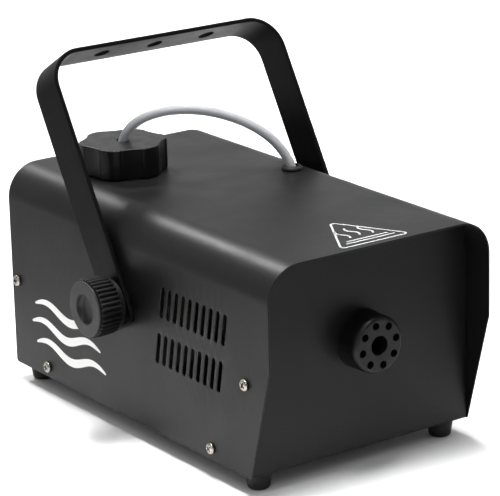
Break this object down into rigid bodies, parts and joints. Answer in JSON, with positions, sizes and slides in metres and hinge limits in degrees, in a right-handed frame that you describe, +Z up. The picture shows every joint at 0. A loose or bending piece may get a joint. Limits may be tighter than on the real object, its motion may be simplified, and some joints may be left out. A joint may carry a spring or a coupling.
{
  "type": "fog machine",
  "caption": "Fog machine: black sheet-steel case with a hooded front nozzle, carrying yoke with clamp knobs, screw-capped fluid tank, feed hose, pump and heater.",
  "frame": {"origin": "on the surface that the feet stand on, under the middle of the bounding box", "axes": "+X across the case, from the tank-cap side to the hose-inlet side, +Y from the nozzle to the rear panel, +Z up"},
  "size_m": [0.24, 0.321, 0.255],
  "materials": {
    "powder_coat": "fine textured satin black powder coat",
    "black_plastic": "satin moulded black plastic",
    "knob_plastic": "semi-gloss moulded black plastic",
    "rubber": "matt black rubber",
    "nickel": "bright nickel plate, slightly worn",
    "zinc_steel": "zinc-plated sheet steel",
    "brass": "turned brass",
    "copper": "drawn copper",
    "cast_alloy": "cast aluminium",
    "hose": "translucent milky silicone",
    "tank_plastic": "natural blow-moulded polythene",
    "coil": "taped copper winding",
    "wool": "white mineral wool",
    "board": "green glass-fibre board",
    "pale_plastic": "moulded pale plastic",
    "thermal": "moulded phenolic",
    "rocker_red": "glossy red plastic"
  },
  "bodies": {
    "case": {"cover": "powder_coat", "chassis": "powder_coat", "pivot_spacer_left": "black_plastic", "pivot_spacer_right": "black_plastic", "pivot_nut_left": "zinc_steel", "pivot_nut_right": "zinc_steel", "nozzle_shroud": "black_plastic", "jet_nozzle": "brass", "tank": "tank_plastic", "tank_tray": "zinc_steel", "feed_hose": "hose", "hose_grommet": "rubber", "pump_barrel": "brass", "pump_coil": "coil", "pump_bracket": "zinc_steel", "pump_spring": "nickel", "pressure_tube": "copper", "heater_block": "cast_alloy", "heater_element": "zinc_steel", "heater_insulation": "wool", "heater_jacket": "zinc_steel", "heater_stand": "zinc_steel", "thermostat": "thermal", "thermal_cutout": "thermal", "control_board": "board", "board_carrier": "pale_plastic", "mains_inlet": "black_plastic", "inlet_screw_1": "nickel", "inlet_screw_2": "nickel", "power_switch": "black_plastic", "remote_socket": "nickel", "cover_screw_1": "nickel", "cover_screw_2": "nickel", "cover_screw_3": "nickel", "cover_screw_4": "nickel", "cover_screw_5": "nickel", "cover_screw_6": "nickel", "cover_screw_7": "nickel", "cover_screw_8": "nickel", "foot_front_left": "rubber", "foot_screw_front_left": "nickel", "foot_front_right": "rubber", "foot_screw_front_right": "nickel", "foot_rear_left": "rubber", "foot_screw_rear_left": "nickel", "foot_rear_right": "rubber", "foot_screw_rear_right": "nickel"},
    "bracket": {"bracket": "powder_coat"},
    "knob_washer_left": {"knob_washer_left": "rubber"},
    "knob_left": {"knob_left": "knob_plastic", "knob_stud_left": "zinc_steel"},
    "knob_washer_right": {"knob_washer_right": "rubber"},
    "knob_right": {"knob_right": "knob_plastic", "knob_stud_right": "zinc_steel"},
    "cap_seal": {"cap_seal": "rubber", "pickup_filter": "pale_plastic"},
    "tank_cap": {"tank_cap": "knob_plastic"},
    "rocker": {"rocker": "rocker_red"},
    "fuse_drawer": {"fuse_drawer": "black_plastic"},
    "pump_plunger": {"pump_plunger": "nickel"}
  },
  "joints": [
    {"name": "bracket_tilt", "type": "hinge", "parent": "case", "child": "bracket", "pos_m": [0, 0.0105, 0.096], "axis": [1, 0, 0], "range_deg": [-76, 92]},
    {"name": "knob_left_travel", "type": "slide", "parent": "case", "child": "knob_washer_left", "axis": [-1, 0, 0], "range_m": [0, 0.0025]},
    {"name": "knob_left_turn", "type": "hinge", "parent": "knob_washer_left", "child": "knob_left", "pos_m": [-0.1, 0.0105, 0.096], "axis": [-1, 0, 0], "range_deg": [0, 720]},
    {"name": "knob_right_travel", "type": "slide", "parent": "case", "child": "knob_washer_right", "axis": [1, 0, 0], "range_m": [0, 0.0025]},
    {"name": "knob_right_turn", "type": "hinge", "parent": "knob_washer_right", "child": "knob_right", "pos_m": [0.1, 0.0105, 0.096], "axis": [1, 0, 0], "range_deg": [0, 720]},
    {"name": "cap_lift", "type": "slide", "parent": "case", "child": "cap_seal", "axis": [0, 0, 1], "range_m": [0, 0.006], "deforming": ["feed_hose"]},
    {"name": "cap_turn", "type": "hinge", "parent": "cap_seal", "child": "tank_cap", "pos_m": [-0.0316, 0.0948, 0.172], "axis": [0, 0, 1], "range_deg": [0, 540]},
    {"name": "switch_rock", "type": "hinge", "parent": "case", "child": "rocker", "pos_m": [0.05, 0.154, 0.102], "axis": [1, 0, 0], "range_deg": [0, 20]},
    {"name": "fuse_slide", "type": "slide", "parent": "case", "child": "fuse_drawer", "axis": [0, 1, 0], "range_m": [0, 0.016]},
    {"name": "plunger_stroke", "type": "slide", "parent": "case", "child": "pump_plunger", "axis": [0, 0, -1], "range_m": [0, 0.005], "stiffness_N_per_m": 400, "springref_m": -0.006, "deforming": ["pump_spring"]}
  ],
  "couplings": [
    {"joint": "knob_left_travel", "follows": "knob_left_turn", "m_per_rad": 0.00019894},
    {"joint": "knob_right_travel", "follows": "knob_right_turn", "m_per_rad": 0.00019894},
    {"joint": "cap_lift", "follows": "cap_turn", "m_per_rad": 0.00063662}
  ]
}
